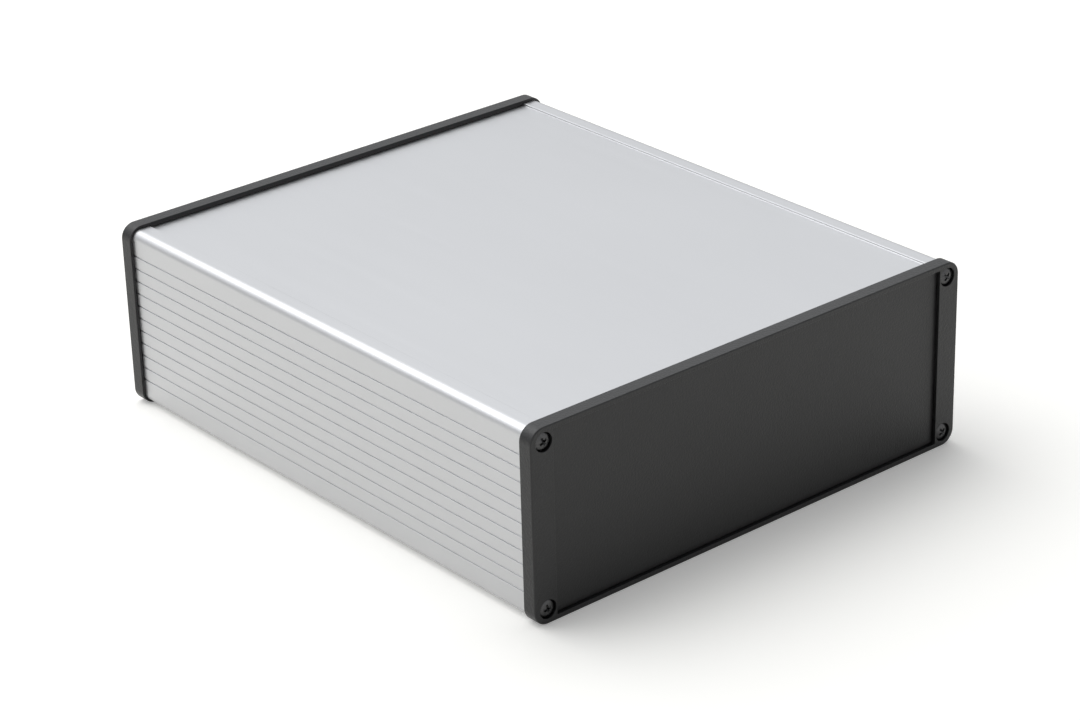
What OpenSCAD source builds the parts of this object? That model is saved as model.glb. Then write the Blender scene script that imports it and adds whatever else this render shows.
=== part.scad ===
// Extruded aluminium enclosure, lying on the lower edges of its two bezels.
// X is the width, Y the length and Z the height, in millimetres.
// The origin is the middle of the footprint, on the surface that the enclosure rests on.
// A one-piece extruded body is open below. A bottom plate slides into grooves along that opening.
// At each end a moulded bezel slips over the sawn end, traps a flat end panel against it,
// and is held by four screws that run into channels in the body's corners.

/* [Body] */
// Outside width of the extruded body
body_w = 195; // [120:1:260]
// Outside height of the extruded body
body_h = 69; // [50:1:120]
// Sawn length of the extruded body
body_l = 224; // [80:1:320]
// Radius of the four long outside corners
corner_r = 3.5; // [2:0.25:4.5]
// Thickness of the top wall
top_wall_t = 2; // [1.6:0.1:3]
// Thickness of the side walls
side_wall_t = 2.2; // [1.8:0.1:3]

/* [Raised strips] */
// Width of the raised strip along each long edge, above and below
strip_w = 8; // [5:0.5:14]
// Depth of the flat field between two raised strips
field_depth = 0.75; // [0.3:0.05:1.2]

/* [Side grooves] */
// Distance from one decorative groove to the next
groove_pitch = 5; // [3:0.25:10]
// Width of a groove
groove_w = 0.6; // [0.3:0.1:1.2]
// Depth of a groove
groove_depth = 0.4; // [0.2:0.05:0.8]
// Least height of plain wall between a corner and the nearest groove
groove_margin = 5; // [2:0.5:12]

/* [Card guides] */
// Thickness of the circuit board that the guides take
card_t = 1.6; // [0.8:0.1:2.4]
// Clearance on each face of the board
card_gap = 0.15; // [0.05:0.05:0.4]
// Distance from one pair of guides to the next
guide_pitch = 10; // [8:1:20]
// How far a guide rib stands out of the side wall
guide_reach = 3.6; // [2:0.2:5]
// Thickness of a guide rib
guide_rib_t = 1.2; // [0.8:0.1:1.8]
// Least free wall between a guide rib and a screw channel
guide_margin = 2; // [1:0.5:6]

/* [Screw channels] */
// Distance of a channel's axis from the body's side
channel_inset_x = 4.4; // [4:0.1:6]
// Distance of a channel's axis from the body's top or underside
channel_inset_z = 4.1; // [4:0.1:6]
// Diameter of the channel that a screw runs into
channel_bore_d = 3; // [2.4:0.1:3.4]
// Wall round the channel
channel_wall_t = 1.6; // [1.2:0.1:2]
// Width of the slit that opens the channel to the inside
channel_slit_w = 1.2; // [0.6:0.1:1.6]

/* [Bottom plate] */
// Thickness of the bottom plate
plate_t = 2; // [1.5:0.1:3]
// Thickness of the tongue along each edge of the plate
tongue_t = 1.2; // [0.8:0.1:1.6]
// How far the tongue reaches into the body's groove
tongue_reach = 2.4; // [1.5:0.1:4]
// Thickness of the lip below the tongue
lip_t = 1.2; // [0.8:0.1:1.8]
// Clearance between the plate's edge and the body
slide_gap = 0.2; // [0.1:0.05:0.4]
// Clearance above the tongue, which rests on the lip
tongue_gap = 0.3; // [0.1:0.05:0.5]
// Thickness of the flange that keeps the tongue down
flange_t = 1.4; // [1:0.1:2]
// Width of the thick rib beside each tongue
plate_rib_w = 4; // [2:0.5:8]
// Wall between the end of the groove and the screw channel
groove_end_wall = 0.5; // [0.3:0.1:1.5]

/* [Bezels] */
// How far a bezel stands out past the body on every side
bezel_overhang = 1.25; // [0.9:0.05:3]
// Radius of a bezel's four corners
bezel_corner_r = 5.5; // [4:0.25:6]
// Radius of the rounded edge round a bezel's outer face
bezel_edge_r = 0.5; // [0.3:0.1:1.2]
// Length of body that a bezel covers
skirt_l = 2; // [1:0.25:5]
// Clearance between a bezel and the body
bezel_gap = 0.1; // [0.05:0.05:0.3]
// Depth of the end panel's face behind the bezel's face
panel_recess = 1.4; // [1:0.1:2.5]
// Width of bezel left between a screw's counterbore and the window
window_web = 0.4; // [0.3:0.1:4]

/* [End panels] */
// Thickness of an end panel
panel_t = 2.2; // [1.5:0.1:3]
// Clearance round an end panel
panel_gap = 0.15; // [0.05:0.05:0.4]
// How far a panel's side tab reaches behind the bezel
tab_reach = 4.5; // [2:0.5:5]
// Height of bezel between a side tab's end and a counterbore
tab_margin = 3; // [1:0.5:8]

/* [Screws] */
// Diameter of a screw's head
head_d = 6.2; // [5.4:0.1:6.6]
// Height of the head's cylindrical rim
head_rim_h = 1.1; // [0.8:0.1:1.4]
// Height of the dome on top of the rim
head_dome_h = 0.8; // [0.4:0.1:1]
// Clearance between a head and its counterbore
head_gap = 0.35; // [0.2:0.05:0.5]
// Depth of a head's top below the bezel's face
head_sink = 0.3; // [0:0.1:0.6]
// Length of a screw below its head
shank_l = 12; // [6:1:20]
// Radial clearance of a shank in its channel
shank_gap = 0.05; // [0.05:0.05:0.2]
// Radial clearance of a shank in the bezel
through_gap = 0.4; // [0.2:0.1:0.6]
// Length of the shank's tapered tip
tip_l = 1.5; // [1:0.5:3]
// Width across the cross recess
recess_d = 3.8; // [3:0.1:4.2]
// Width of one arm of the cross recess
recess_arm_w = 0.9; // [0.6:0.1:1.2]
// Depth of the cross recess
recess_depth = 1.5; // [1:0.1:1.8]

/* [Hidden] */
ENDS = ["front", "rear"];
CORNERS = ["upper_left", "upper_right", "lower_left", "lower_right"];
SCREWS = [for (end = ENDS) for (corner = CORNERS) str("screw_", end, "_", corner)];
PIECES = ["extruded_body", "bottom_plate", "front_bezel", "rear_bezel", "front_panel", "rear_panel"];

// Angle at which each screw came to rest, corner by corner
front_screw_turns = [28, 52, 14, 38];
rear_screw_turns = [63, 21, 45, 80];

// The body's section, measured from its own middle
half_w = body_w / 2;
half_h = body_h / 2;
field_z = half_h - field_depth;
field_half_w = half_w - strip_w;
inner_x = half_w - side_wall_t;
inner_z = field_z - top_wall_t;

// Screw channels
channel_x = half_w - channel_inset_x;
channel_z = half_h - channel_inset_z;
channel_r = channel_bore_d / 2 + channel_wall_t;

// Grooves on the outside, as many as the plain wall has room for
groove_room = body_h - 2 * corner_r - 2 * groove_margin;
groove_count = floor(groove_room / groove_pitch) + 1;

// Card guides, as many pairs as fit between the screw channels
guide_slot_h = card_t + 2 * card_gap;
guide_half_h = guide_slot_h / 2 + guide_rib_t;
guide_rows = floor((channel_z - channel_r - guide_margin - guide_half_h) / guide_pitch);

// Bottom opening, from the outside inwards: groove end, lip edge, plate edge
groove_end_x = channel_x - channel_r - groove_end_wall;
tongue_end_x = groove_end_x - slide_gap;
lip_edge_x = tongue_end_x - tongue_reach;
plate_edge_x = lip_edge_x - slide_gap;
lip_top_z = -field_z + lip_t;
tongue_top_z = lip_top_z + tongue_t;
flange_under_z = tongue_top_z + tongue_gap;

// Bezels and end panels
bezel_w = body_w + 2 * bezel_overhang;
bezel_h = body_h + 2 * bezel_overhang;
block_t = panel_recess + panel_t;
bezel_depth = block_t + skirt_l;
counterbore_r = head_d / 2 + head_gap;
window_half_w = channel_x - counterbore_r - window_web;
window_half_h = field_z + bezel_gap;
tab_half_w = window_half_w + tab_reach;
tab_half_h = channel_z - counterbore_r - tab_margin;

// Places along the length, from the middle to the face of a bezel
body_end_y = body_l / 2;
skirt_end_y = body_end_y - skirt_l;
panel_face_y = body_end_y + panel_t;
bezel_face_y = body_end_y + block_t;

// Screws
head_h = head_rim_h + head_dome_h;
head_seat_y = bezel_face_y - head_sink - head_h;
shank_r = channel_bore_d / 2 - shank_gap;
through_r = shank_r + through_gap;
dome_r = (pow(head_d / 2, 2) + pow(head_dome_h, 2)) / (2 * head_dome_h);

// Height of the body's middle above the surface it rests on
middle_z = bezel_h / 2;
// How far a cutter runs past the face it cuts
past = 1;
$fn = 64;

// ---- Shared shapes -------------------------------------------------------------------------

// Stands a flat section up in XZ and draws it out along Y between two places.
module drawn_along_y(from_y, to_y) {
    translate([0, to_y, middle_z])
        rotate([90, 0, 0])
            linear_extrude(height = to_y - from_y)
                children();
}

// A rectangle between two corners.
module area(x0, z0, x1, z1) {
    translate([x0, z0])
        square([x1 - x0, z1 - z0]);
}

// A rectangle about the middle with four round corners.
module round_rectangle(w, h, r) {
    square([w - 2 * r, h], center = true);
    square([w, h - 2 * r], center = true);
    for (sx = [-1, 1], sz = [-1, 1])
        translate([sx * (w / 2 - r), sz * (h / 2 - r)])
            circle(r);
}

// The body's outline, grown by a clearance: round corners, and a shallow field above and below.
module body_outline(gap) {
    difference() {
        round_rectangle(body_w + 2 * gap, body_h + 2 * gap, corner_r + gap);
        for (side = [-1, 1])
            translate([0, side * (field_z + gap + half_h)])
                square([2 * (field_half_w - gap), 2 * half_h], center = true);
    }
}

// Turns whatever is modelled at the rear end round to the front end.
module at_end(end) {
    rotate([0, 0, end == "front" ? 180 : 0])
        children();
}

// Repeats a flat shape in both halves of the section.
module both_sides() {
    children();
    mirror([1, 0])
        children();
}

// ---- Extruded body -------------------------------------------------------------------------

// The four walls, without the opening below.
module wall_section() {
    difference() {
        body_outline(0);
        area(-inner_x, -inner_z, inner_x, inner_z);
    }
}

// Decorative grooves down one side.
module side_groove_section() {
    for (i = [0 : groove_count - 1])
        translate([half_w, (i - (groove_count - 1) / 2) * groove_pitch])
            square([2 * groove_depth, groove_w], center = true);
}

// One side's pairs of ribs, each pair holding a board's edge.
module guide_section() {
    for (row = [-guide_rows : guide_rows], side = [-1, 1])
        translate([inner_x - guide_reach, row * guide_pitch])
            translate([0, side * (guide_slot_h + guide_rib_t) / 2 - guide_rib_t / 2])
                square([guide_reach + side_wall_t / 2, guide_rib_t]);
}

// Solid round one side's two screw channels.
module channel_solid_section() {
    for (side = [-1, 1])
        translate([channel_x, side * channel_z])
            circle(channel_r);
}

// The channels themselves, each with a slit that faces the middle of the enclosure.
module channel_hollow_section() {
    for (side = [-1, 1])
        translate([channel_x, side * channel_z]) {
            circle(channel_bore_d / 2);
            rotate(180 - side * -45)
                translate([0, -channel_slit_w / 2])
                    square([channel_r + past, channel_slit_w]);
        }
}

// The lip and flange that hold one edge of the bottom plate.
module plate_holder_section() {
    difference() {
        area(lip_edge_x, -field_z, channel_x, flange_under_z + flange_t);
        area(lip_edge_x - past, lip_top_z, groove_end_x, flange_under_z);
    }
}

module body_section() {
    difference() {
        intersection() {
            union() {
                difference() {
                    wall_section();
                    area(-lip_edge_x, -half_h - past, lip_edge_x, 0);
                }
                both_sides() {
                    guide_section();
                    channel_solid_section();
                    plate_holder_section();
                }
            }
            body_outline(0);
        }
        both_sides() {
            side_groove_section();
            channel_hollow_section();
            area(lip_edge_x - past, lip_top_z, groove_end_x, flange_under_z);
        }
    }
}

module extruded_body() {
    color([0.80, 0.81, 0.83])
        drawn_along_y(-body_end_y, body_end_y)
            body_section();
}

// ---- Bottom plate --------------------------------------------------------------------------

module bottom_plate() {
    color([0.78, 0.79, 0.81])
        drawn_along_y(-body_end_y, body_end_y) {
            area(-plate_edge_x, -field_z, plate_edge_x, -field_z + plate_t);
            both_sides() {
                area(plate_edge_x - plate_rib_w, -field_z, plate_edge_x, tongue_top_z);
                area(plate_edge_x - plate_rib_w, lip_top_z, tongue_end_x, tongue_top_z);
            }
        }
}

// ---- Bezels --------------------------------------------------------------------------------

// A short round post whose outer rim is rounded: one corner of the bezel.
module corner_post() {
    core_r = bezel_corner_r - bezel_edge_r;
    rotate_extrude() {
        square([bezel_corner_r, bezel_depth - bezel_edge_r]);
        square([core_r, bezel_depth]);
        intersection() {
            translate([core_r, bezel_depth - bezel_edge_r])
                circle(bezel_edge_r);
            square([bezel_corner_r, bezel_depth]);
        }
    }
}

// A flat bar whose two long outer edges are rounded, drawn out along the other direction.
module rounded_bar(across, along) {
    translate([0, 0, -along / 2])
        linear_extrude(height = along) {
            translate([-across / 2, 0])
                square([across, bezel_depth - bezel_edge_r]);
            translate([-across / 2 + bezel_edge_r, 0])
                square([across - 2 * bezel_edge_r, bezel_depth]);
            for (side = [-1, 1])
                translate([side * (across / 2 - bezel_edge_r), bezel_depth - bezel_edge_r])
                    circle(bezel_edge_r);
        }
}

// The bezel before it is cut out, from its skirt's end to its rounded face.
module bezel_blank() {
    post_x = bezel_w / 2 - bezel_corner_r;
    post_z = bezel_h / 2 - bezel_corner_r;
    translate([0, skirt_end_y, middle_z]) {
        rounded_bar(bezel_w, 2 * post_z);
        rotate([0, 90, 0])
            rounded_bar(bezel_h, 2 * post_x);
        for (sx = [-1, 1], sz = [-1, 1])
            translate([sx * post_x, 0, sz * post_z])
                rotate([-90, 0, 0])
                    corner_post();
    }
}

// A round cut about a screw's axis, between two places along the length.
module screw_cut(r, from_y, to_y) {
    for (sx = [-1, 1], sz = [-1, 1])
        translate([sx * channel_x, from_y, middle_z + sz * channel_z])
            rotate([-90, 0, 0])
                cylinder(r = r, h = to_y - from_y);
}

module bezel() {
    difference() {
        bezel_blank();
        // Pocket that slips over the body
        drawn_along_y(skirt_end_y - past, body_end_y)
            body_outline(bezel_gap);
        // Window for the end panel
        drawn_along_y(skirt_end_y, bezel_face_y + past)
            square([2 * window_half_w, 2 * window_half_h], center = true);
        // Rebate for the panel's side tabs
        drawn_along_y(skirt_end_y, panel_face_y)
            square(2 * [tab_half_w + panel_gap, tab_half_h + panel_gap], center = true);
        screw_cut(through_r, skirt_end_y, bezel_face_y);
        screw_cut(counterbore_r, head_seat_y, bezel_face_y + past);
    }
}

module front_bezel() {
    color([0.17, 0.17, 0.18])
        at_end("front")
            bezel();
}

module rear_bezel() {
    color([0.17, 0.17, 0.18])
        at_end("rear")
            bezel();
}

// ---- End panels ----------------------------------------------------------------------------

// A flat sheet with its corners cut away round the screws, which leaves a tab at each side.
module end_panel() {
    drawn_along_y(body_end_y, panel_face_y) {
        square(2 * [window_half_w - panel_gap, window_half_h - panel_gap], center = true);
        square([2 * tab_half_w, 2 * tab_half_h], center = true);
    }
}

module front_panel() {
    color([0.13, 0.13, 0.14])
        at_end("front")
            end_panel();
}

module rear_panel() {
    color([0.13, 0.13, 0.14])
        at_end("rear")
            end_panel();
}

// ---- Screws --------------------------------------------------------------------------------

// The cross recess, tapering from the width across at the top to a point below.
module cross_recess() {
    taper_l = recess_depth + past;
    top_r = recess_d / 2 * taper_l / recess_depth;
    intersection() {
        translate([0, 0, -recess_depth])
            cylinder(r1 = 0, r2 = top_r, h = taper_l);
        for (turn = [0, 90])
            rotate(turn)
                cube([2 * top_r, recess_arm_w, 2 * taper_l], center = true);
    }
}

// One screw, seated on the origin with its head upwards.
module screw() {
    difference() {
        union() {
            cylinder(d = head_d, h = head_rim_h);
            intersection() {
                translate([0, 0, head_h - dome_r])
                    sphere(dome_r);
                cylinder(d = head_d, h = head_h);
            }
            translate([0, 0, tip_l - shank_l])
                cylinder(r = shank_r, h = shank_l - tip_l);
            translate([0, 0, -shank_l])
                cylinder(r1 = shank_r / 2, r2 = shank_r, h = tip_l);
        }
        translate([0, 0, head_h])
            cross_recess();
    }
}

// A screw in one corner of one end. Left and right are as seen from outside that end.
module placed_screw(end, corner) {
    turns = end == "front" ? front_screw_turns : rear_screw_turns;
    sx = corner % 2 == 0 ? 1 : -1;
    sz = corner < 2 ? 1 : -1;
    color([0.10, 0.10, 0.11])
        at_end(end)
            translate([sx * channel_x, head_seat_y, middle_z + sz * channel_z])
                rotate([-90, 0, 0])
                    rotate(turns[corner])
                        screw();
}

// ---- The enclosure -------------------------------------------------------------------------

extruded_body();
bottom_plate();
front_bezel();
rear_bezel();
front_panel();
rear_panel();
for (end = ENDS, corner = [0 : len(CORNERS) - 1])
    placed_screw(end, corner);
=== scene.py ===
# %% [markdown]
# # An extruded aluminium enclosure
# The solids of this enclosure come ready made from its CAD model, each in its real place and size.
# Blender gives them what the eye looks for: satin metal, textured plastic, fine rounded edges,
# a quiet studio and a camera. This first cell loads the solids and measures them.

# %% Load the solids
import math

import bmesh
import bpy
from mathutils import Matrix, Vector


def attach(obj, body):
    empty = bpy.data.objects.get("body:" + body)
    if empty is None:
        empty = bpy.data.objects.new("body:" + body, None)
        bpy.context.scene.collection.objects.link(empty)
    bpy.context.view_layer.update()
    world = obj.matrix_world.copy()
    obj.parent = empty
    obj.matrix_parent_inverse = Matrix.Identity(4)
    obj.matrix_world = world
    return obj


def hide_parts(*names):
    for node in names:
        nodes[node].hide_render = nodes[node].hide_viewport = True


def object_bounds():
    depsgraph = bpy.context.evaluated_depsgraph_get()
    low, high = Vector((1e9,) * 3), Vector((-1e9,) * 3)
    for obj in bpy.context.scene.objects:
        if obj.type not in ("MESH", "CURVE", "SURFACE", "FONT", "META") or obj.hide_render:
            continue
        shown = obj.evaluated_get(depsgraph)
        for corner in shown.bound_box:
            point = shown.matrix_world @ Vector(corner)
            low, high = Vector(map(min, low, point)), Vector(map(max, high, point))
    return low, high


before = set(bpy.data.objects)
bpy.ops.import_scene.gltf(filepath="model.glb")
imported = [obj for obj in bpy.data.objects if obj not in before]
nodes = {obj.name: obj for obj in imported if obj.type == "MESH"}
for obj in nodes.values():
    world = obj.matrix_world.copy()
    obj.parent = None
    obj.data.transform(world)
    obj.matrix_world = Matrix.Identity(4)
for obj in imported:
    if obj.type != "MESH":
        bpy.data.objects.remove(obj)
cad_low, cad_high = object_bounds()
scene = bpy.context.scene
MM = 0.001
print("solids:", len(nodes), "| size in mm:", [round(v / MM, 1) for v in cad_high - cad_low])

# %% [markdown]
# ## The camera
# A long lens keeps the case's edges nearly parallel, as in a catalogue picture.
# The camera stands to the front left, a good metre away, and looks down at about 25 degrees.
# Its place and its three angles are written out as numbers, which is easier to repeat than
# a camera that was dragged about by hand.

# %% Set the camera
LENS_MM, SENSOR_MM = 106.52, 36.0
NEAREST_SEEN, FARTHEST_SEEN = 0.05, 30.0
CAMERA_PLACE = (-0.67147, -0.80856, 0.52445)
TURNED_RIGHT, LOOKING_DOWN, ROLLED_BACK = 39.817, 25.44, 1.572  # degrees

camera_data = bpy.data.cameras.new("camera")
camera_data.lens = LENS_MM
camera_data.sensor_width = SENSOR_MM
camera_data.clip_start = NEAREST_SEEN
camera_data.clip_end = FARTHEST_SEEN
camera = bpy.data.objects.new("camera", camera_data)
scene.collection.objects.link(camera)
scene.camera = camera

turned = Matrix.Rotation(math.radians(-TURNED_RIGHT), 4, "Z")
tilted = Matrix.Rotation(math.radians(90.0 - LOOKING_DOWN), 4, "X")
rolled = Matrix.Rotation(math.radians(-ROLLED_BACK), 4, "Z")
camera.matrix_world = Matrix.Translation(CAMERA_PLACE) @ turned @ tilted @ rolled
print("camera stands", round(camera.matrix_world.translation.length, 3), "m from the origin")

# %% [markdown]
# ## Sums in nodes
# The light and the finishes are both worked out by nodes. Three helpers add the nodes that do
# the sums, so that each later step reads like a line of arithmetic.

# %% Helpers for sums in nodes
def arithmetic(tree, operation, *values):
    """One arithmetic node. Each value is a socket or a plain number."""
    node = tree.nodes.new("ShaderNodeMath")
    node.operation = operation
    for socket, value in zip(node.inputs, values):
        if hasattr(value, "node"):
            tree.links.new(value, socket)
        else:
            socket.default_value = value
    return node.outputs[0]


def ranged(tree, value, given, wanted, easing="LINEAR"):
    """Maps a value from the given range to the wanted one. A range is a pair of numbers."""
    node = tree.nodes.new("ShaderNodeMapRange")
    node.interpolation_type = easing
    tree.links.new(value, node.inputs["Value"])
    ends = zip(("From Min", "From Max", "To Min", "To Max"), (*given, *wanted))
    for name, number in ends:
        node.inputs[name].default_value = number
    return node.outputs["Result"]


def shiny_rays(tree, path):
    """1 for light that is traced from a shiny or a clear surface, and otherwise 0."""
    return arithmetic(
        tree, "MAXIMUM", path.outputs["Is Glossy Ray"], path.outputs["Is Transmission Ray"]
    )


print("node helpers made: arithmetic, ranged, shiny_rays")

# %% [markdown]
# ## The light of the studio
# A case like this is shown on a pale sheet in a room that is dark behind the camera.
# Wide soft light comes from above and from behind the case, so the top shines evenly and the
# black front keeps its depth. Here the room itself gives that light: its brightness rises from
# the horizon to the ceiling, and falls away towards the front.

# %% Light the room
UPWARD, GLOW_UPWARD = (-0.05, 0.70), (0.46, 1.33)
BACKWARD, SHARE_BACKWARD = (-0.45, 0.40), (0.06, 1.0)

scene.view_settings.view_transform = "Standard"
room = bpy.data.worlds.new("room")
room.use_nodes = True
scene.world = room
room_tree = room.node_tree
room_tree.nodes.clear()

look = room_tree.nodes.new("ShaderNodeTexCoord")
parts = room_tree.nodes.new("ShaderNodeSeparateXYZ")
room_tree.links.new(look.outputs["Generated"], parts.inputs[0])
height_light = ranged(room_tree, parts.outputs["Z"], UPWARD, GLOW_UPWARD, "SMOOTHSTEP")
front_shade = ranged(room_tree, parts.outputs["Y"], BACKWARD, SHARE_BACKWARD, "SMOOTHSTEP")
room_glow = arithmetic(room_tree, "MULTIPLY", height_light, front_shade)
print("glow overhead:", GLOW_UPWARD[1], "| share of it at the front:", SHARE_BACKWARD[0])

# %% [markdown]
# ## A pale background for shiny surfaces
# The front of the room is dark, and metal that is turned to it would mirror that dark. Shiny
# surfaces find a pale band there in its place, so the metal stays bright from every side.

# %% Add the pale band
LOW, BAND_BY_HEIGHT = (0.42, 0.75), (1.0, 0.0)
FORWARD, BAND_BY_FRONT = (-0.30, 0.25), (0.95, 0.0)
DAYLIGHT = (0.965, 0.98, 1.0, 1.0)

path = room_tree.nodes.new("ShaderNodeLightPath")
low_part = ranged(room_tree, parts.outputs["Z"], LOW, BAND_BY_HEIGHT, "SMOOTHSTEP")
front_part = ranged(room_tree, parts.outputs["Y"], FORWARD, BAND_BY_FRONT, "SMOOTHSTEP")
band = arithmetic(room_tree, "MULTIPLY", low_part, front_part)
pale_band = arithmetic(room_tree, "MULTIPLY", band, shiny_rays(room_tree, path))
studio = room_tree.nodes.new("ShaderNodeBackground")
studio.inputs["Color"].default_value = DAYLIGHT
strength = arithmetic(room_tree, "MAXIMUM", room_glow, pale_band)
room_tree.links.new(strength, studio.inputs["Strength"])
print("brightest part of the pale band:", BAND_BY_FRONT[0])

# %% [markdown]
# ## A white background
# Where the floor ends, the camera looks at the room itself. It is shown plain white there, and
# no more light falls on the case for it.

# %% Show the camera a white background
white = room_tree.nodes.new("ShaderNodeBackground")
white.inputs["Color"].default_value = (1.0, 1.0, 1.0, 1.0)
white.inputs["Strength"].default_value = 1.0
pick = room_tree.nodes.new("ShaderNodeMixShader")
room_out = room_tree.nodes.new("ShaderNodeOutputWorld")
room_tree.links.new(path.outputs["Is Camera Ray"], pick.inputs["Fac"])
room_tree.links.new(studio.outputs[0], pick.inputs[1])
room_tree.links.new(white.outputs[0], pick.inputs[2])
room_tree.links.new(pick.outputs[0], room_out.inputs["Surface"])
print("room light nodes:", len(room_tree.nodes))

# %% [markdown]
# ## A softbox
# One large lamp over the case and a little behind it sharpens the light on its rounded corners
# and gives the shadow on the floor a direction.

# %% Hang the softbox
SOFTBOX_WIDTH = 1.7
SOFTBOX_WATTS = 15.0
SOFTBOX_PLACE = (-0.4, 0.75, 1.65)

softbox_data = bpy.data.lights.new("softbox", "AREA")
softbox_data.shape = "RECTANGLE"
softbox_data.size = SOFTBOX_WIDTH
softbox_data.size_y = SOFTBOX_WIDTH
softbox_data.energy = SOFTBOX_WATTS
softbox = bpy.data.objects.new("softbox", softbox_data)
softbox.location = SOFTBOX_PLACE
to_the_case = Vector((0, 0, 0)) - softbox.location
softbox.rotation_euler = to_the_case.to_track_quat("-Z", "Y").to_euler()
softbox.visible_camera = False
scene.collection.objects.link(softbox)
print("softbox height in m:", round(softbox.location.z, 2))

# %% [markdown]
# ## The floor
# The floor is a wide, level sheet, so that its far edge lies well out of view from every side.

# %% Lay the floor
FLOOR_WIDTH = 16.0

bpy.ops.mesh.primitive_plane_add(size=FLOOR_WIDTH, location=(0, 0, 0))
floor = bpy.context.object
floor.name = "floor"
print("floor width in m:", floor.dimensions.x)

# %% [markdown]
# ## The paper on the floor
# The sheet is matt pale paper. It takes the case's shadow as paper does. A little light of its
# own, which only the camera and the shiny surfaces see, lifts the open paper to white and
# leaves the shadow in place.

# %% Cover the floor with paper
PAPER_COLOUR = (0.93, 0.92, 0.885, 1.0)
LIFT_WHERE_SEEN = 0.14
EXTRA_LIFT_FOR_CAMERA = 0.10

paper = bpy.data.materials.new("paper")
paper.use_nodes = True
paper_tree = paper.node_tree
paper_tree.nodes.clear()
matt = paper_tree.nodes.new("ShaderNodeBsdfDiffuse")
matt.inputs["Color"].default_value = PAPER_COLOUR
lift = paper_tree.nodes.new("ShaderNodeEmission")
lift.inputs["Color"].default_value = (1.0, 1.0, 1.0, 1.0)

rays = paper_tree.nodes.new("ShaderNodeLightPath")
camera_ray = rays.outputs["Is Camera Ray"]
seen = arithmetic(paper_tree, "MAXIMUM", camera_ray, shiny_rays(paper_tree, rays))
for_camera = arithmetic(paper_tree, "MULTIPLY", camera_ray, EXTRA_LIFT_FOR_CAMERA)
amount = arithmetic(paper_tree, "MULTIPLY_ADD", seen, LIFT_WHERE_SEEN, for_camera)
paper_tree.links.new(amount, lift.inputs["Strength"])

both = paper_tree.nodes.new("ShaderNodeAddShader")
paper_out = paper_tree.nodes.new("ShaderNodeOutputMaterial")
paper_tree.links.new(matt.outputs[0], both.inputs[0])
paper_tree.links.new(lift.outputs[0], both.inputs[1])
paper_tree.links.new(both.outputs[0], paper_out.inputs["Surface"])
floor.data.materials.append(paper)
print("paper nodes:", len(paper_tree.nodes))

# %% [markdown]
# ## Reading a section
# An extrusion has one section from end to end. On the real body no corner of that section is
# quite sharp, because aluminium flows round the edges of the die. The outline of the section is
# read from the CAD solid's sawn end, its corners are rounded, and it is drawn out again along
# the length. That keeps every size, and gives light something to catch on.

# %% Read the outline of a sawn end
SAME_POINT = 1e-7
ON_THE_END = 1e-6


def sawn_outline(solid):
    """The section of an extruded solid at its front end, as a closed loop of (x, z) points.

    Also gives where that end lies and how long the solid is.
    """
    work = bmesh.new()
    work.from_mesh(solid.data)
    bmesh.ops.remove_doubles(work, verts=work.verts, dist=SAME_POINT)
    end_y = min(v.co.y for v in work.verts)
    cap = {f for f in work.faces if all(abs(v.co.y - end_y) < ON_THE_END for v in f.verts)}
    rim = [e for e in work.edges if sum(f in cap for f in e.link_faces) == 1]
    after = {}
    for edge in rim:
        for vert in edge.verts:
            after.setdefault(vert.index, []).append(edge.other_vert(vert).index)
    work.verts.ensure_lookup_table()
    first = rim[0].verts[0].index
    loop, here, came = [first], after[first][0], first
    while here != first:
        loop.append(here)
        here, came = next(n for n in after[here] if n != came), here
    outline = [Vector((work.verts[i].co.x, work.verts[i].co.z)) for i in loop]
    length = max(v.co.y for v in work.verts) - end_y
    assert len(outline) == len(rim), "the section has more than one loop"
    work.free()
    area = sum(a.x * b.y - b.x * a.y for a, b in zip(outline, outline[1:] + outline[:1]))
    return (outline if area > 0 else outline[::-1]), end_y, length


body_outline, body_start, body_length = sawn_outline(nodes["extruded_body"])
print("body section:", len(body_outline), "points, length in mm:", round(body_length / MM, 2))

# %% [markdown]
# ## Fewer points
# A mesh may carry points halfway along its straight lines. A corner can only be rounded well
# when its neighbours are real corners, so any such points go first. The count shows whether
# this section had some.

# %% Drop needless points
LEAST_BEND = 1e-4


def straightened(outline):
    """Leaves out points that lie on a straight line between their neighbours."""
    kept = []
    count = len(outline)
    for i, point in enumerate(outline):
        before = (point - outline[i - 1]).normalized()
        behind = (outline[(i + 1) % count] - point).normalized()
        if abs(before.x * behind.y - before.y * behind.x) > LEAST_BEND:
            kept.append(point)
    return kept


print("body section without them:", len(straightened(body_outline)), "points")

# %% [markdown]
# ## Rounded corners
# Each sharp corner gives way to a short arc that touches both of its sides. Where two corners
# lie close together, each arc takes less than half of the side between them, so the arcs never
# run into each other.

# %% Round the corners
ARC_STEPS = 4
LEAST_TURN = math.radians(25)
MOST_OF_A_SIDE = 0.45


def rounded(outline, radius_at):
    """Rounds each sharp corner of a closed outline. radius_at gives the radius for a point."""
    result = []
    count = len(outline)
    for i, corner in enumerate(outline):
        back, ahead = outline[i - 1] - corner, outline[(i + 1) % count] - corner
        turn = math.pi - back.angle(ahead)
        if turn < LEAST_TURN:
            result.append(corner)
            continue
        reach = min(
            radius_at(corner) * math.tan(turn / 2),
            MOST_OF_A_SIDE * back.length,
            MOST_OF_A_SIDE * ahead.length,
        )
        radius = reach / math.tan(turn / 2)
        start, end = corner + back.normalized() * reach, corner + ahead.normalized() * reach
        middle_way = (back.normalized() + ahead.normalized()).normalized()
        centre = corner + middle_way * (radius / math.cos(turn / 2))
        arm = start - centre
        sweep = arm.angle_signed(end - centre)
        for step in range(ARC_STEPS + 1):
            angle = -sweep * step / ARC_STEPS
            c, s = math.cos(angle), math.sin(angle)
            result.append(centre + Vector((arm.x * c - arm.y * s, arm.x * s + arm.y * c)))
    return result


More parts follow.
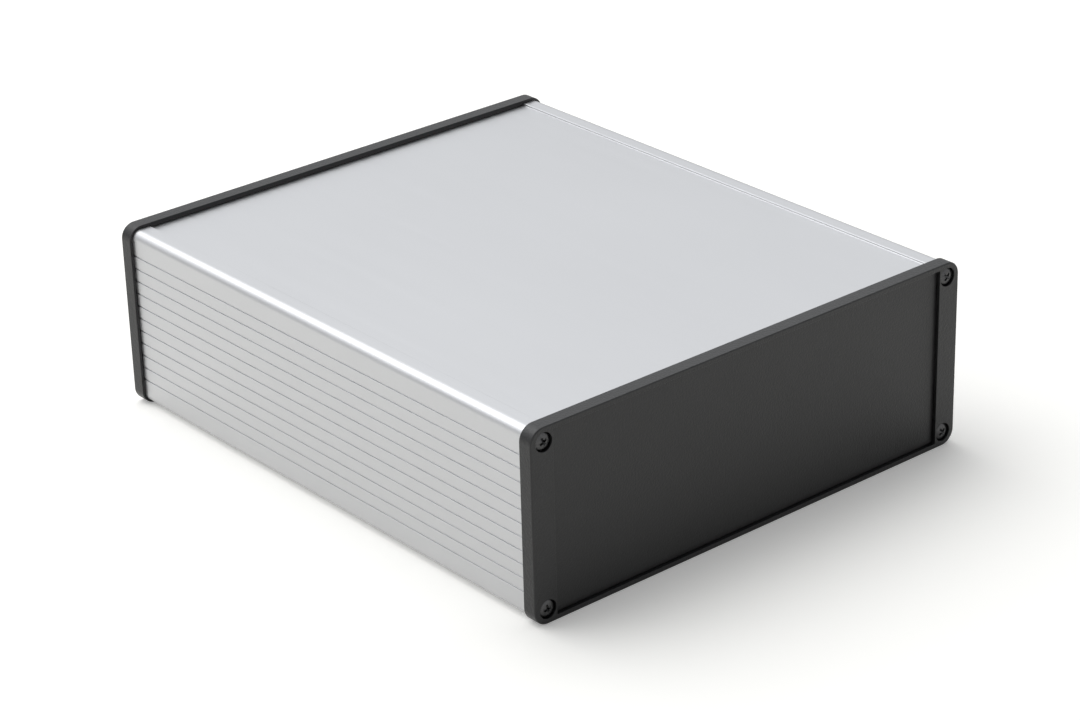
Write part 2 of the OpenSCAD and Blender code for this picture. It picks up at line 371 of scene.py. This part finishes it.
square = [Vector((0, 0)), Vector((1, 0)), Vector((1, 1)), Vector((0, 1))]
print("a square with rounded corners:", len(rounded(square, lambda corner: 0.1)), "points")

# %% [markdown]
# ## Drawing out
# The outline is drawn out along the length into a closed mesh, much as the press pushes metal
# through the die. Arcs are shaded smooth. Weighted normals keep the wide faces flat beside them.

# %% Draw an outline out along the length
SHARP_EDGE = math.radians(40)
FLAT_FACE_WEIGHT = 100


def drawn_out(name, outline, start_y, length):
    """Draws an outline of (x, z) points out along Y into a closed mesh."""
    work = bmesh.new()
    near = [work.verts.new((p.x, start_y, p.y)) for p in outline]
    far = [work.verts.new((p.x, start_y + length, p.y)) for p in outline]
    work.faces.new(near)
    work.faces.new(far[::-1])
    for i in range(len(outline)):
        j = (i + 1) % len(outline)
        work.faces.new((near[j], near[i], far[i], far[j]))
    bmesh.ops.recalc_face_normals(work, faces=work.faces)
    for edge in work.edges:
        edge.smooth = edge.calc_face_angle(0.0) < SHARP_EDGE
    for face in work.faces:
        face.smooth = True
    mesh = bpy.data.meshes.new(name)
    work.to_mesh(mesh)
    work.free()
    piece = bpy.data.objects.new(name, mesh)
    scene.collection.objects.link(piece)
    even = piece.modifiers.new("even_normals", "WEIGHTED_NORMAL")
    even.keep_sharp = True
    even.weight = FLAT_FACE_WEIGHT
    return piece


print("edges stay sharp above", round(math.degrees(SHARP_EDGE)), "degrees")

# %% [markdown]
# ## The body
# The die leaves about a quarter of a millimetre of radius along the steps between the raised
# strips and the flat field, and about a tenth at the lips of the fine grooves. The ribs and
# channels inside have a radius in between.

# %% Make the body
LIP_RADIUS, STEP_RADIUS, RIB_RADIUS = 0.10 * MM, 0.25 * MM, 0.18 * MM
LIPS_WITHIN, STEPS_WITHIN, CORNER_WIDTH = 0.6 * MM, 1.0 * MM, 4 * MM

middle_z = (cad_low.z + cad_high.z) / 2
body_half_width = max(p.x for p in body_outline)
body_half_height = max(p.y for p in body_outline) - middle_z


def body_radius(point):
    """Corner radius of the body's section at a point."""
    across, up = abs(point.x), abs(point.y - middle_z)
    if across > body_half_width - LIPS_WITHIN:
        return LIP_RADIUS
    if up > body_half_height - STEPS_WITHIN and across < body_half_width - CORNER_WIDTH:
        return STEP_RADIUS
    return RIB_RADIUS


body_section = rounded(straightened(body_outline), body_radius)
body_shell = drawn_out("body_shell", body_section, body_start, body_length)
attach(body_shell, "root")
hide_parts("extruded_body")
print("body faces:", len(body_shell.data.polygons))

# %% [markdown]
# ## The bottom plate
# The plate that slides into the body is an extrusion as well, so it is made in the same way.

# %% Make the bottom plate
PLATE_RADIUS = 0.2 * MM

plate_outline, plate_start, plate_length = sawn_outline(nodes["bottom_plate"])
plate_section = rounded(straightened(plate_outline), lambda point: PLATE_RADIUS)
underside_plate = drawn_out("underside_plate", plate_section, plate_start, plate_length)
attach(underside_plate, "root")
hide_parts("bottom_plate")
print("plate faces:", len(underside_plate.data.polygons))

# %% [markdown]
# ## Soft edges
# Moulded and turned parts have broken edges too. Each of these pieces starts as a copy of its
# CAD solid. Its flat faces are joined back together, and a small bevel goes round every edge
# that is sharp enough to cut a finger.

# %% A helper for soft edges
FLAT_WITHIN = math.radians(0.4)
BEVEL_ABOVE = math.radians(35)
BEVEL_STEPS = 2


def soft_edged(name, solid, width):
    """A copy of a CAD solid with a narrow bevel on its sharp edges."""
    work = bmesh.new()
    work.from_mesh(solid.data)
    bmesh.ops.remove_doubles(work, verts=work.verts, dist=SAME_POINT)
    bmesh.ops.dissolve_limit(
        work, angle_limit=FLAT_WITHIN, verts=work.verts, edges=work.edges, delimit={"NORMAL"}
    )
    for face in work.faces:
        face.smooth = True
    mesh = bpy.data.meshes.new(name)
    work.to_mesh(mesh)
    work.free()
    piece = bpy.data.objects.new(name, mesh)
    scene.collection.objects.link(piece)
    bevel = piece.modifiers.new("soft_edges", "BEVEL")
    bevel.width = width
    bevel.segments = BEVEL_STEPS
    bevel.limit_method = "ANGLE"
    bevel.angle_limit = BEVEL_ABOVE
    bevel.use_clamp_overlap = False
    bevel.miter_outer = "MITER_SHARP"
    even = piece.modifiers.new("even_normals", "WEIGHTED_NORMAL")
    even.weight = FLAT_FACE_WEIGHT
    even.keep_sharp = False
    return piece


print("edges get a bevel above", round(math.degrees(BEVEL_ABOVE)), "degrees")

# %% [markdown]
# ## Screw heads
# Each head nearly fills its counterbore, and its cross is deep enough to look dark. The solid's
# head sits a little low with a shallow cross, so the points of the head are moved: all of them
# outwards, and those of the cross inwards by a share of their depth below the dome.

# %% A helper for the screw heads
SEAT_Y, SEAT_MARGIN = 113.4 * MM, 0.05 * MM
HEAD_GROWTH, HEAD_LIFT = 1.01, 0.2 * MM
HEAD_TOP_Y, DOME_RADIUS = 115.3 * MM, 6.406 * MM
RECESS_REACH, RECESS_GROWTH = 1.95 * MM, 0.55
RECESS_FROM, RECESS_TO = 0.02 * MM, 1.6 * MM


def fill_counterbore(mesh):
    """Brings a screw's head nearly level with the bezel and cuts its cross recess deeper."""
    side = 1.0 if mesh.vertices[0].co.y > 0 else -1.0
    head = [v for v in mesh.vertices if side * v.co.y > SEAT_Y + SEAT_MARGIN]
    axis_x = (min(v.co.x for v in head) + max(v.co.x for v in head)) / 2
    axis_z = (min(v.co.z for v in head) + max(v.co.z for v in head)) / 2
    for v in head:
        radius = math.hypot(v.co.x - axis_x, v.co.z - axis_z)
        dome_y = HEAD_TOP_Y - DOME_RADIUS + math.sqrt(DOME_RADIUS**2 - radius**2)
        below = dome_y - side * v.co.y
        if radius < RECESS_REACH and RECESS_FROM < below < RECESS_TO:
            v.co.y -= side * below * RECESS_GROWTH
        v.co.x = axis_x + (v.co.x - axis_x) * HEAD_GROWTH
        v.co.z = axis_z + (v.co.z - axis_z) * HEAD_GROWTH
        v.co.y += side * HEAD_LIFT


print("screw heads move out by mm:", HEAD_LIFT / MM)

# %% [markdown]
# ## Bezels, panels and screws
# A table lists the twelve small pieces: the new name, the solid it is made from, its finish and
# the width of its bevel in millimetres. One loop then makes them all.

# %% Make the bezels, panels and screws
BEZEL_EDGE, PANEL_EDGE, SCREW_EDGE = 0.12, 0.15, 0.05

SMALL_PIECES = [
    ("bezel_front", "front_bezel", "bezel_plastic", BEZEL_EDGE),
    ("bezel_rear", "rear_bezel", "bezel_plastic", BEZEL_EDGE),
    ("panel_front", "front_panel", "panel_plastic", PANEL_EDGE),
    ("panel_rear", "rear_panel", "panel_plastic", PANEL_EDGE),
]
SMALL_PIECES += [
    (f"bolt_{end}_{corner}", f"screw_{end}_{corner}", "black_steel", SCREW_EDGE)
    for end in ("front", "rear")
    for corner in ("upper_left", "upper_right", "lower_left", "lower_right")
]
made = {}
for name, solid, slot, width in SMALL_PIECES:
    piece = soft_edged(name, nodes[solid], width * MM)
    if slot == "black_steel":
        fill_counterbore(piece.data)
    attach(piece, "root")
    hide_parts(solid)
    made[name] = piece
print("pieces with soft edges:", len(made))

# %% [markdown]
# ## A kit for finishes
# Every finish below is a small net of nodes. These helpers keep each net to a few lines.

# %% Helpers for finishes
NOISE_SPAN = (0.3, 0.7)  # nearly all of a noise lies between these
EDGE_SPAN = (0.98, 0.85)  # likeness of a face's direction to that of its surroundings
EDGE_SAMPLES = 6


class Finish:
    """A material whose nodes are added by short calls."""

    def __init__(self, name):
        self.material = bpy.data.materials.new(name)
        self.material.use_nodes = True
        self.tree = self.material.node_tree
        self.surface = self.tree.nodes["Principled BSDF"]
        self.place = self.tree.nodes.new("ShaderNodeTexCoord").outputs["Object"]

    def set(self, **values):
        """Sets plain values on the shader's own sockets."""
        for name, value in values.items():
            self.surface.inputs[name.replace("_", " ")].default_value = value

    def grain(self, stretch, scale, detail, rough):
        """Noise in metres, stretched along the axes: a number from 0 to 1."""
        spread = self.tree.nodes.new("ShaderNodeMapping")
        spread.inputs["Scale"].default_value = stretch
        self.tree.links.new(self.place, spread.inputs["Vector"])
        noise = self.tree.nodes.new("ShaderNodeTexNoise")
        noise.inputs["Scale"].default_value = scale
        noise.inputs["Detail"].default_value = detail
        noise.inputs["Roughness"].default_value = rough
        self.tree.links.new(spread.outputs[0], noise.inputs["Vector"])
        return noise.outputs["Fac"]

    def eased(self, value, low, high, given=NOISE_SPAN):
        """Maps a noise to numbers from low to high."""
        return ranged(self.tree, value, given, (low, high))

    def add(self, first, second):
        """Adds two numbers."""
        return arithmetic(self.tree, "ADD", first, second)

    def share(self, first, second):
        """Takes a share of a number."""
        return arithmetic(self.tree, "MULTIPLY", first, second)

    def shade(self, amount, dark, light):
        """Blends two colours by a number."""
        node = self.tree.nodes.new("ShaderNodeMix")
        node.data_type = "RGBA"
        self.tree.links.new(amount, node.inputs["Factor"])
        node.inputs["A"].default_value = (*dark, 1.0)
        node.inputs["B"].default_value = (*light, 1.0)
        return node.outputs["Result"]

    def edges(self, reach):
        """How near an edge the surface is: 0 on flats, 1 where it turns within the reach."""
        softened = self.tree.nodes.new("ShaderNodeBevel")
        softened.samples = EDGE_SAMPLES
        softened.inputs["Radius"].default_value = reach
        true_face = self.tree.nodes.new("ShaderNodeNewGeometry").outputs["Normal"]
        likeness = self.tree.nodes.new("ShaderNodeVectorMath")
        likeness.operation = "DOT_PRODUCT"
        self.tree.links.new(softened.outputs["Normal"], likeness.inputs[0])
        self.tree.links.new(true_face, likeness.inputs[1])
        return self.eased(likeness.outputs["Value"], 0.0, 1.0, EDGE_SPAN)

    def relief(self, height, depth, under=None):
        """A bump of the given depth in metres."""
        node = self.tree.nodes.new("ShaderNodeBump")
        node.inputs["Strength"].default_value = 1.0
        node.inputs["Distance"].default_value = depth
        self.tree.links.new(height, node.inputs["Height"])
        if under is not None:
            self.tree.links.new(under, node.inputs["Normal"])
        return node.outputs["Normal"]

    def feed(self, **sockets):
        """Links outputs to the shader's sockets."""
        for name, value in sockets.items():
            self.tree.links.new(value, self.surface.inputs[name.replace("_", " ")])


EVEN = (1.0, 1.0, 1.0)
print("noise is read between", NOISE_SPAN[0], "and", NOISE_SPAN[1])

# %% [markdown]
# ## Satin anodised aluminium
# The extrusion is etched matt and then anodised clear. Close up it shows the finest lines along
# its length, drawn by the die, and a powdery grain from the etch. The lines are noise stretched
# along the length. The grain is fine even noise. Both act on roughness and relief more than on
# colour, because that is what they do on metal. Its edges are rubbed a touch lighter by hands.

# %% Make the aluminium
ALUMINIUM_DARK, ALUMINIUM_LIGHT = (0.585, 0.588, 0.598), (0.612, 0.615, 0.625)
ALONG, CLOUD_SHAPE = (1.0, 0.012, 1.0), (1.0, 0.6, 1.0)
ETCH_DEPTH, LINE_DEPTH = 5e-6, 3e-6

aluminium = Finish("satin_anodised")
aluminium.set(Metallic=1.0, Roughness=0.4)
die_lines = aluminium.grain(ALONG, scale=900.0, detail=3.0, rough=0.6)
etch = aluminium.grain(EVEN, scale=2600.0, detail=2.0, rough=0.6)
clouds = aluminium.grain(CLOUD_SHAPE, scale=9.0, detail=3.0, rough=0.55)
worn = aluminium.share(aluminium.edges(0.25 * MM), 0.6)
tone = aluminium.add(aluminium.share(clouds, 0.6), aluminium.share(die_lines, 0.4))
lightness = aluminium.add(aluminium.eased(tone, 0.0, 1.0), worn)
aluminium.feed(
    Base_Color=aluminium.shade(lightness, ALUMINIUM_DARK, ALUMINIUM_LIGHT),
    Roughness=aluminium.add(
        aluminium.eased(die_lines, 0.37, 0.43), aluminium.eased(etch, -0.02, 0.02)
    ),
    Normal=aluminium.relief(etch, ETCH_DEPTH, aluminium.relief(die_lines, LINE_DEPTH)),
)
for piece in (body_shell, underside_plate):
    piece.data.materials.append(aluminium.material)
print("aluminium nodes:", len(aluminium.tree.nodes))

# %% [markdown]
# ## Black moulded plastic
# The bezels are moulded in a spark-eroded tool, which leaves a fine even pebble. The end panels
# are a little smoother. Both are nearly black, so almost all that is seen of them is what they
# reflect, broken up by the pebble. Their edges are a touch lighter where hands rub them.

# %% A helper for plastics
PATCH_ROUGHNESS, PEBBLE_ROUGHNESS = 0.03, 0.04


def moulded(name, dark, light, rough, pebble_scale, pebble_depth):
    """Black plastic with a pebbled skin."""
    plastic = Finish(name)
    plastic.set(IOR=1.5)
    pebble = plastic.grain(EVEN, pebble_scale, detail=2.0, rough=0.55)
    patches = plastic.grain(EVEN, scale=35.0, detail=3.0, rough=0.6)
    handled = plastic.share(plastic.edges(0.25 * MM), 0.8)
    lightness = plastic.add(plastic.eased(patches, 0.0, 1.0), handled)
    plastic.feed(
        Base_Color=plastic.shade(lightness, dark, light),
        Roughness=plastic.add(
            plastic.eased(patches, rough - PATCH_ROUGHNESS, rough + PATCH_ROUGHNESS),
            plastic.eased(pebble, -PEBBLE_ROUGHNESS, PEBBLE_ROUGHNESS),
        ),
        Normal=plastic.relief(pebble, pebble_depth),
    )
    return plastic.material


print("roughness varies by", PATCH_ROUGHNESS + PEBBLE_ROUGHNESS, "either way")

# %% [markdown]
# ## Two plastics
# The bezels' pebble is a little coarser and deeper than the panels', and the bezels are a
# little lighter.

# %% Make the plastics
bezel_black = moulded(
    "moulded_bezel", dark=(0.0085, 0.0085, 0.009), light=(0.012, 0.012, 0.0125),
    rough=0.38, pebble_scale=1200.0, pebble_depth=1.3e-4,
)
panel_black = moulded(
    "moulded_panel", dark=(0.0075, 0.0075, 0.008), light=(0.010, 0.010, 0.0105),
    rough=0.40, pebble_scale=1350.0, pebble_depth=1.0e-4,
)
for name, piece in made.items():
    if name.startswith("bezel"):
        piece.data.materials.append(bezel_black)
    elif name.startswith("panel"):
        piece.data.materials.append(panel_black)
print("plastics:", bezel_black.name, "and", panel_black.name)

# %% [markdown]
# ## Blackened steel
# The screws are steel with a thin black coat. The coat is worn a little along the edges of the
# cross, where a driver turns them.

# %% Make the steel
COAT_DARK, COAT_LIGHT = (0.065, 0.065, 0.068), (0.105, 0.104, 0.102)
FLECK_SPAN, FLECK_DEPTH = (0.3, 0.75), 4e-6

steel = Finish("blackened_steel")
steel.set(Metallic=1.0, Roughness=0.36)
fleck = steel.grain(EVEN, scale=1800.0, detail=3.0, rough=0.6)
rubbed = steel.share(steel.edges(0.12 * MM), 0.8)
lightness = steel.add(steel.eased(fleck, 0.0, 1.0, FLECK_SPAN), rubbed)
steel.feed(
    Base_Color=steel.shade(lightness, COAT_DARK, COAT_LIGHT),
    Roughness=steel.eased(fleck, 0.30, 0.42),
    Normal=steel.relief(fleck, FLECK_DEPTH),
)
for name, piece in made.items():
    if name.startswith("bolt"):
        piece.data.materials.append(steel.material)
print("steel nodes:", len(steel.tree.nodes))
